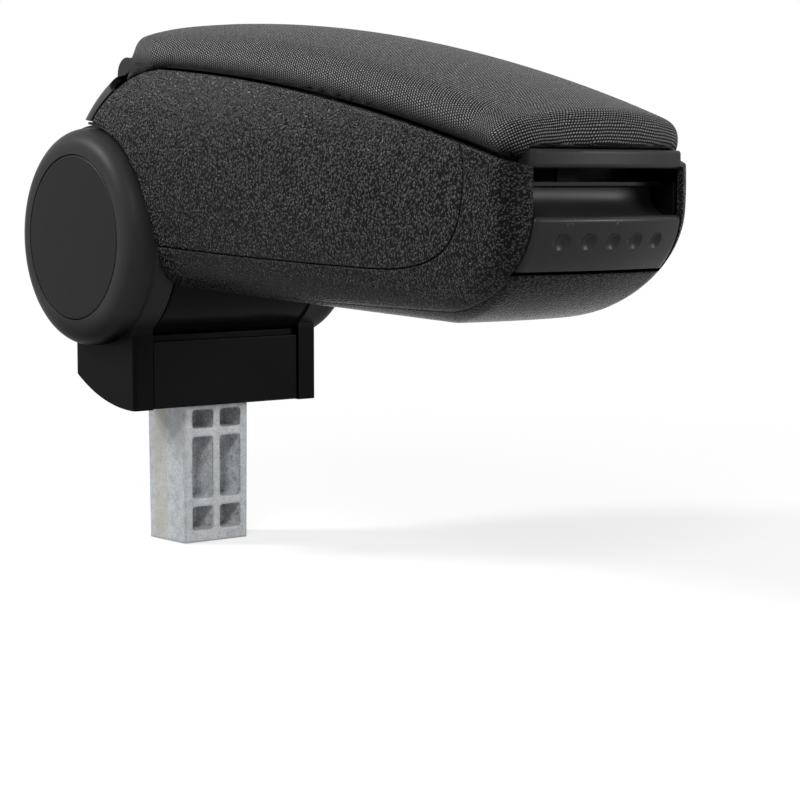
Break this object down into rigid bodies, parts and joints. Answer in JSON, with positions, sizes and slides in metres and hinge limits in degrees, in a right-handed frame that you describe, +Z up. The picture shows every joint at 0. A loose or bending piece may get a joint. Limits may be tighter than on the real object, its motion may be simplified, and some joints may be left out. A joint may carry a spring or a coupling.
{
  "type": "car centre armrest",
  "caption": "Car centre armrest on a cast plug-in post: tilting padded arm with a fabric lid over a storage tub and a push latch at the nose.",
  "frame": {"origin": "middle of the mounting post's lower end face", "axes": "+X forward to the nose, +Y to the car's left, +Z up along the post"},
  "size_m": [0.3283, 0.1264, 0.235],
  "materials": {
    "die_cast": "raw die casting",
    "smooth_plastic": "smooth satin",
    "grained_plastic": "fine leather grain",
    "panel_plastic": "coarse leather grain",
    "inner_plastic": "plain moulding",
    "steel": "zinc plated",
    "woven_fabric": "black woven twill"
  },
  "bodies": {
    "stand": {"mounting_post": "die_cast", "stand_housing": "smooth_plastic", "base_front_panel": "smooth_plastic", "post_screws": "steel", "hub_cap_right": "smooth_plastic", "hub_cap_left": "smooth_plastic", "hinge_shaft": "steel", "shaft_nuts": "steel", "friction_washers": "steel"},
    "arm": {"arm_chassis": "grained_plastic", "hinge_bushes": "inner_plastic", "side_shell_right": "grained_plastic", "side_shell_left": "grained_plastic", "side_panel_right": "panel_plastic", "side_panel_left": "panel_plastic", "rear_cover": "smooth_plastic", "storage_tub": "inner_plastic", "front_bezel": "inner_plastic", "lid_pin": "steel", "return_leaf": "steel"},
    "lid": {"lid_plate": "inner_plastic", "lid_lip": "smooth_plastic", "striker": "steel", "cushion": "woven_fabric"},
    "paddle": {"release_paddle": "smooth_plastic"}
  },
  "joints": [
    {"name": "arm_tilt", "type": "hinge", "parent": "stand", "child": "arm", "pos_m": [-0.0045, 0, 0.14], "axis": [0, -1, 0], "range_deg": [0, 95]},
    {"name": "lid_hinge", "type": "hinge", "parent": "arm", "child": "lid", "pos_m": [0.02, 0, 0.2113], "axis": [0, -1, 0], "range_deg": [0, 65]},
    {"name": "paddle_press", "type": "slide", "parent": "arm", "child": "paddle", "axis": [-1, 0, 0], "range_m": [0, 0.003], "stiffness_N_per_m": 900, "deforming": ["return_leaf"]}
  ]
}
